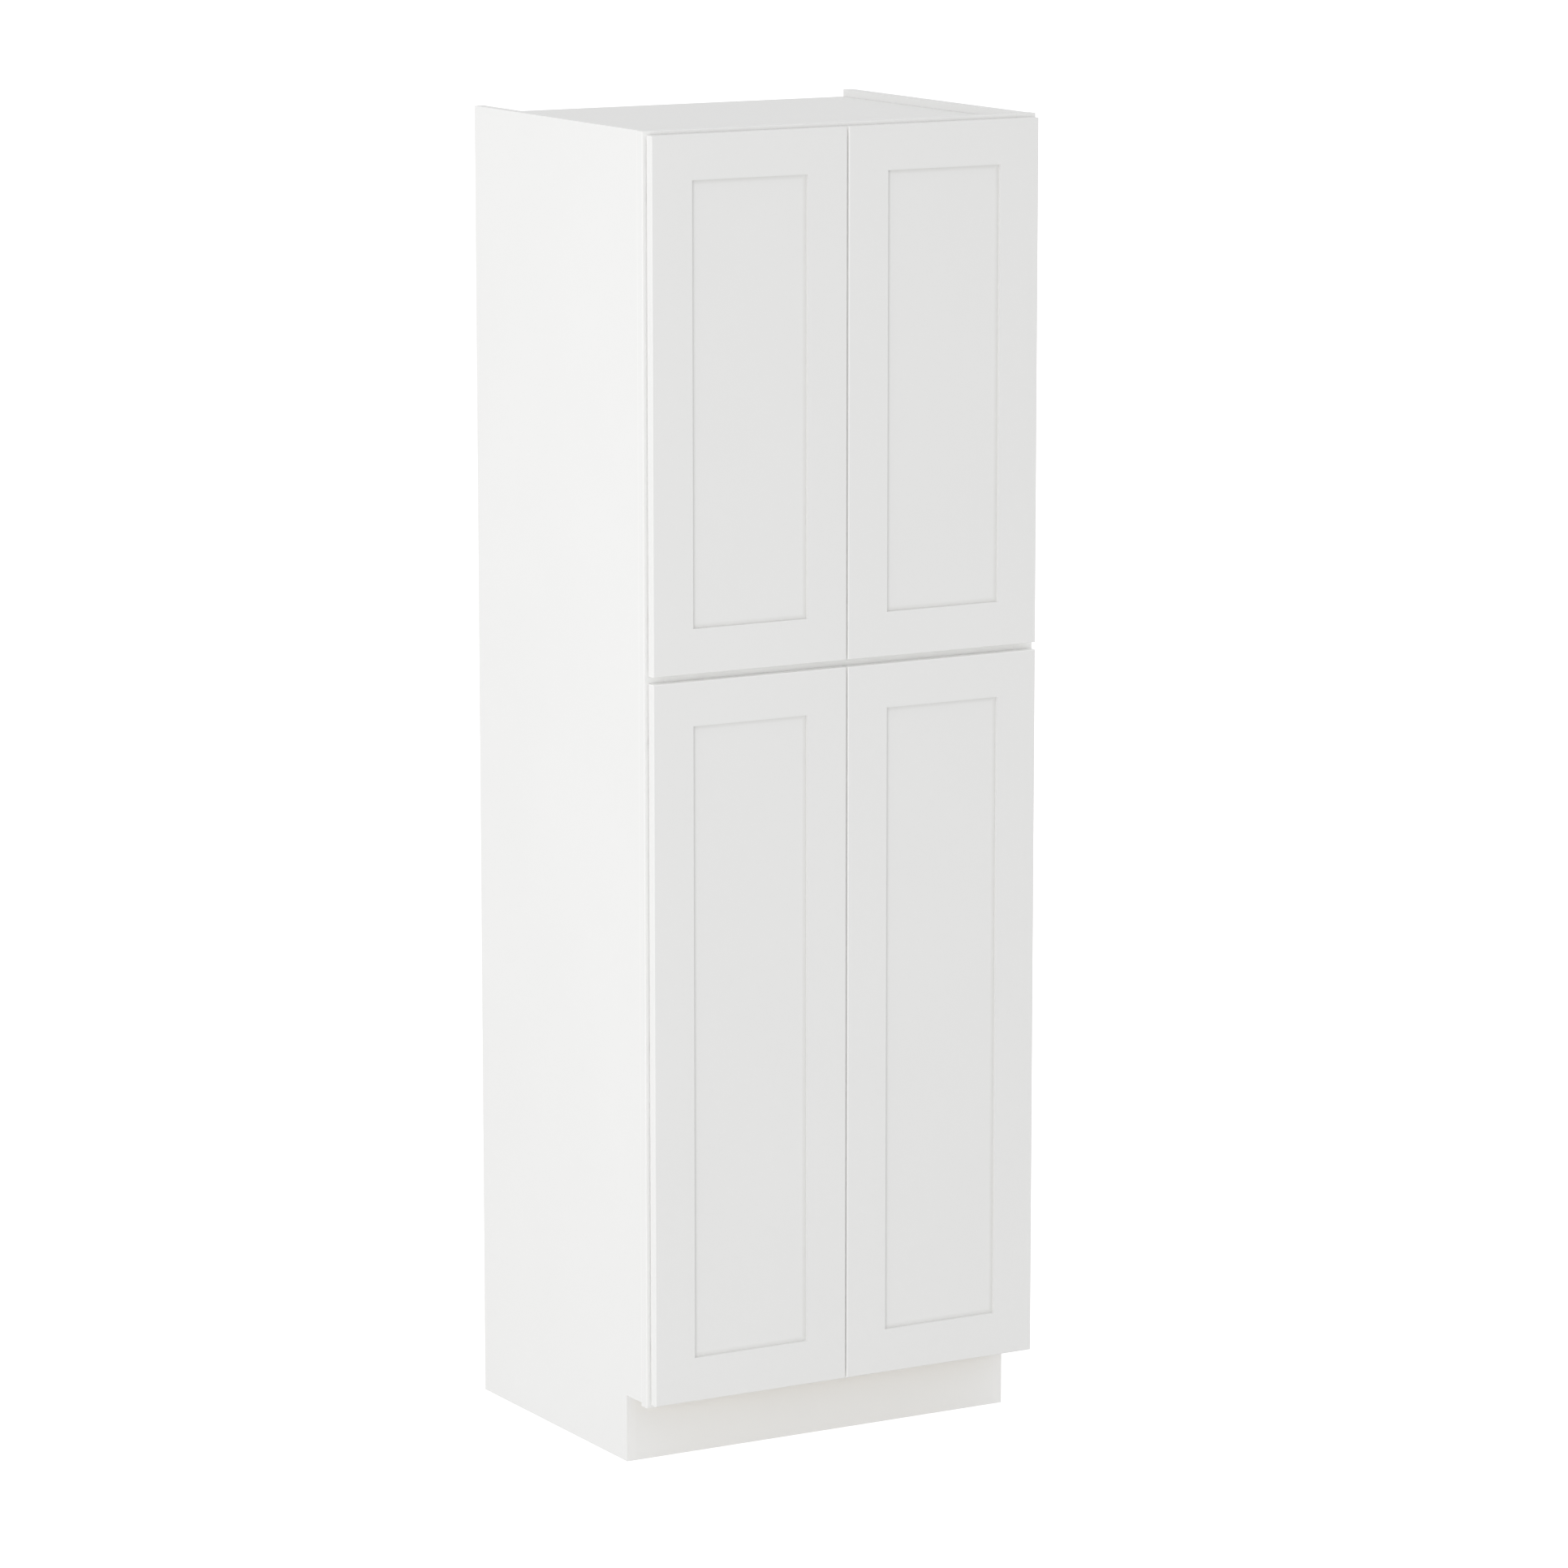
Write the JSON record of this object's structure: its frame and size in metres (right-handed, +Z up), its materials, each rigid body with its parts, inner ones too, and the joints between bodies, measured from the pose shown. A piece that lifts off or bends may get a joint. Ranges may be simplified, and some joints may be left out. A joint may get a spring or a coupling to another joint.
{
  "type": "pantry cabinet",
  "caption": "Tall white framed pantry cabinet with flat-panel overlay doors on concealed hinges, adjustable shelves inside and a recessed toe kick.",
  "frame": {"origin": "centre of the closed cabinet's outline on the floor", "axes": "+Z up, -Y out of the doors, +X to the right seen from the front"},
  "size_m": [0.762, 0.6306, 2.286],
  "materials": {
    "door_paint": "satin white lacquer",
    "frame_paint": "satin white lacquer",
    "panel_paint": "satin white paint on plywood",
    "interior_panel": "clear-coated birch plywood",
    "plywood": "clear-coated birch plywood",
    "hinge_steel": "nickel plated",
    "pin_steel": "nickel plated",
    "bumper": "translucent soft"
  },
  "bodies": {
    "carcass": {"back_panel": "plywood", "bottom_frame_rail": "frame_paint", "bottom_nailer": "plywood", "bottom_panel": "interior_panel", "corner_blocks": "plywood", "hinge_arm_screws": "hinge_steel", "hinge_arms": "hinge_steel", "left_frame_stile": "frame_paint", "left_side_panel": "panel_paint", "lower_shelf_1": "interior_panel", "lower_shelf_2": "interior_panel", "lower_shelf_3": "interior_panel", "middle_deck": "interior_panel", "middle_frame_rail": "frame_paint", "middle_nailer": "plywood", "right_frame_stile": "frame_paint", "right_side_panel": "panel_paint", "shelf_pins": "pin_steel", "toe_kick_board": "panel_paint", "top_frame_rail": "frame_paint", "top_nailer": "plywood", "top_panel": "panel_paint", "upper_shelf_1": "interior_panel", "upper_shelf_2": "interior_panel"},
    "lower_left_door": {"lower_left_cup_screws": "hinge_steel", "lower_left_door_bottom_rail": "door_paint", "lower_left_door_bumpers": "bumper", "lower_left_door_hinge_stile": "door_paint", "lower_left_door_lock_stile": "door_paint", "lower_left_door_panel": "door_paint", "lower_left_door_top_rail": "door_paint", "lower_left_hinge_cups": "hinge_steel", "lower_left_hinge_pins": "hinge_steel"},
    "lower_right_door": {"lower_right_cup_screws": "hinge_steel", "lower_right_door_bottom_rail": "door_paint", "lower_right_door_bumpers": "bumper", "lower_right_door_hinge_stile": "door_paint", "lower_right_door_lock_stile": "door_paint", "lower_right_door_panel": "door_paint", "lower_right_door_top_rail": "door_paint", "lower_right_hinge_cups": "hinge_steel", "lower_right_hinge_pins": "hinge_steel"},
    "upper_left_door": {"upper_left_cup_screws": "hinge_steel", "upper_left_door_bottom_rail": "door_paint", "upper_left_door_bumpers": "bumper", "upper_left_door_hinge_stile": "door_paint", "upper_left_door_lock_stile": "door_paint", "upper_left_door_panel": "door_paint", "upper_left_door_top_rail": "door_paint", "upper_left_hinge_cups": "hinge_steel", "upper_left_hinge_pins": "hinge_steel"},
    "upper_right_door": {"upper_right_cup_screws": "hinge_steel", "upper_right_door_bottom_rail": "door_paint", "upper_right_door_bumpers": "bumper", "upper_right_door_hinge_stile": "door_paint", "upper_right_door_lock_stile": "door_paint", "upper_right_door_panel": "door_paint", "upper_right_door_top_rail": "door_paint", "upper_right_hinge_cups": "hinge_steel", "upper_right_hinge_pins": "hinge_steel"}
  },
  "joints": [
    {"name": "upper_left_door_hinge", "type": "hinge", "parent": "carcass", "child": "upper_left_door", "pos_m": [-0.36724, -0.30727, 1.8288], "axis": [0, 0, -1], "range_deg": [0, 105]},
    {"name": "upper_right_door_hinge", "type": "hinge", "parent": "carcass", "child": "upper_right_door", "pos_m": [0.36724, -0.30727, 1.8288], "axis": [0, 0, 1], "range_deg": [0, 105]},
    {"name": "lower_left_door_hinge", "type": "hinge", "parent": "carcass", "child": "lower_left_door", "pos_m": [-0.36724, -0.30727, 0.74295], "axis": [0, 0, -1], "range_deg": [0, 105]},
    {"name": "lower_right_door_hinge", "type": "hinge", "parent": "carcass", "child": "lower_right_door", "pos_m": [0.36724, -0.30727, 0.74295], "axis": [0, 0, 1], "range_deg": [0, 105]}
  ]
}
